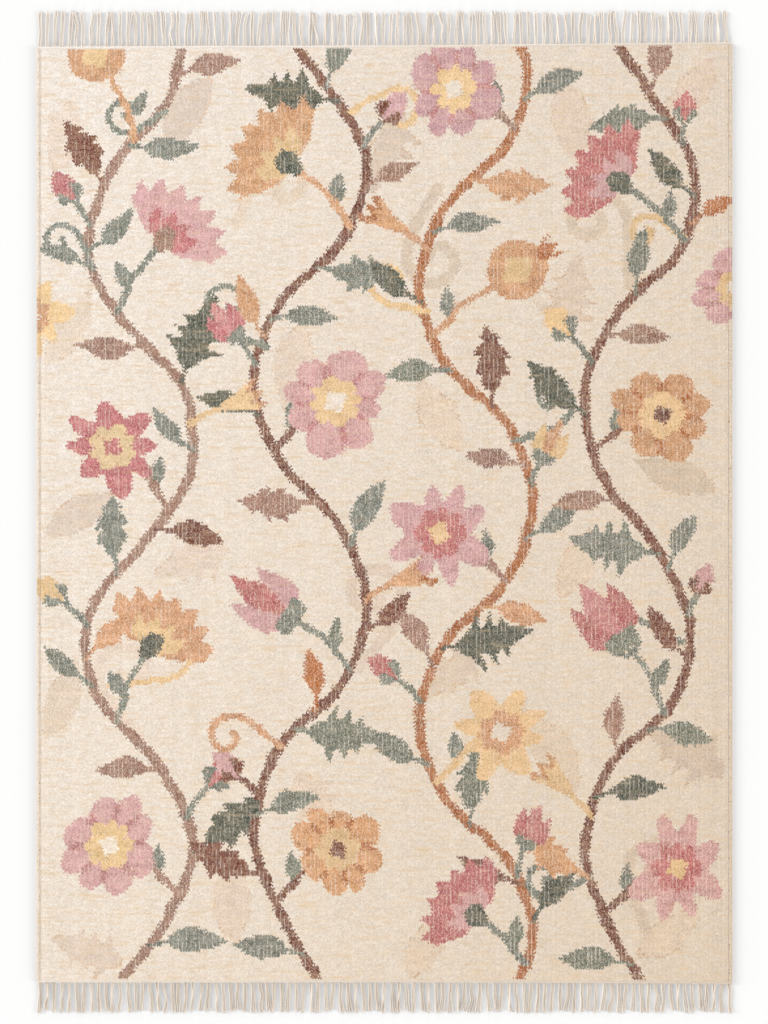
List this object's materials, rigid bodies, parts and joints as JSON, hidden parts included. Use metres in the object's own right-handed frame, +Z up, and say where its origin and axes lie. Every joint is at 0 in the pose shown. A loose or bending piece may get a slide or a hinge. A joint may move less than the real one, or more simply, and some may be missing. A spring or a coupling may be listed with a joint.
{
  "type": "kilim rug",
  "caption": "Flat-woven rectangular wool and cotton kilim rug with corded selvedges, plain end bands and loose warp fringe at both ends.",
  "frame": {"origin": "centre of the rug on the plane it lies on, under the middle of its bounding box", "axes": "+Z up out of the patterned face, +Y along the warps towards the far fringe, the picture's top, and +X across the wefts to the picture's right"},
  "size_m": [1.6, 2.3, 0.005],
  "materials": {
    "woven_cloth": "matte, weft-faced tapestry weave",
    "warp_cotton": "matte, loosely plied yarn"
  },
  "bodies": {
    "root": {"cloth": "woven_cloth", "fringe_far": "warp_cotton", "fringe_near": "warp_cotton"}
  },
  "joints": []
}
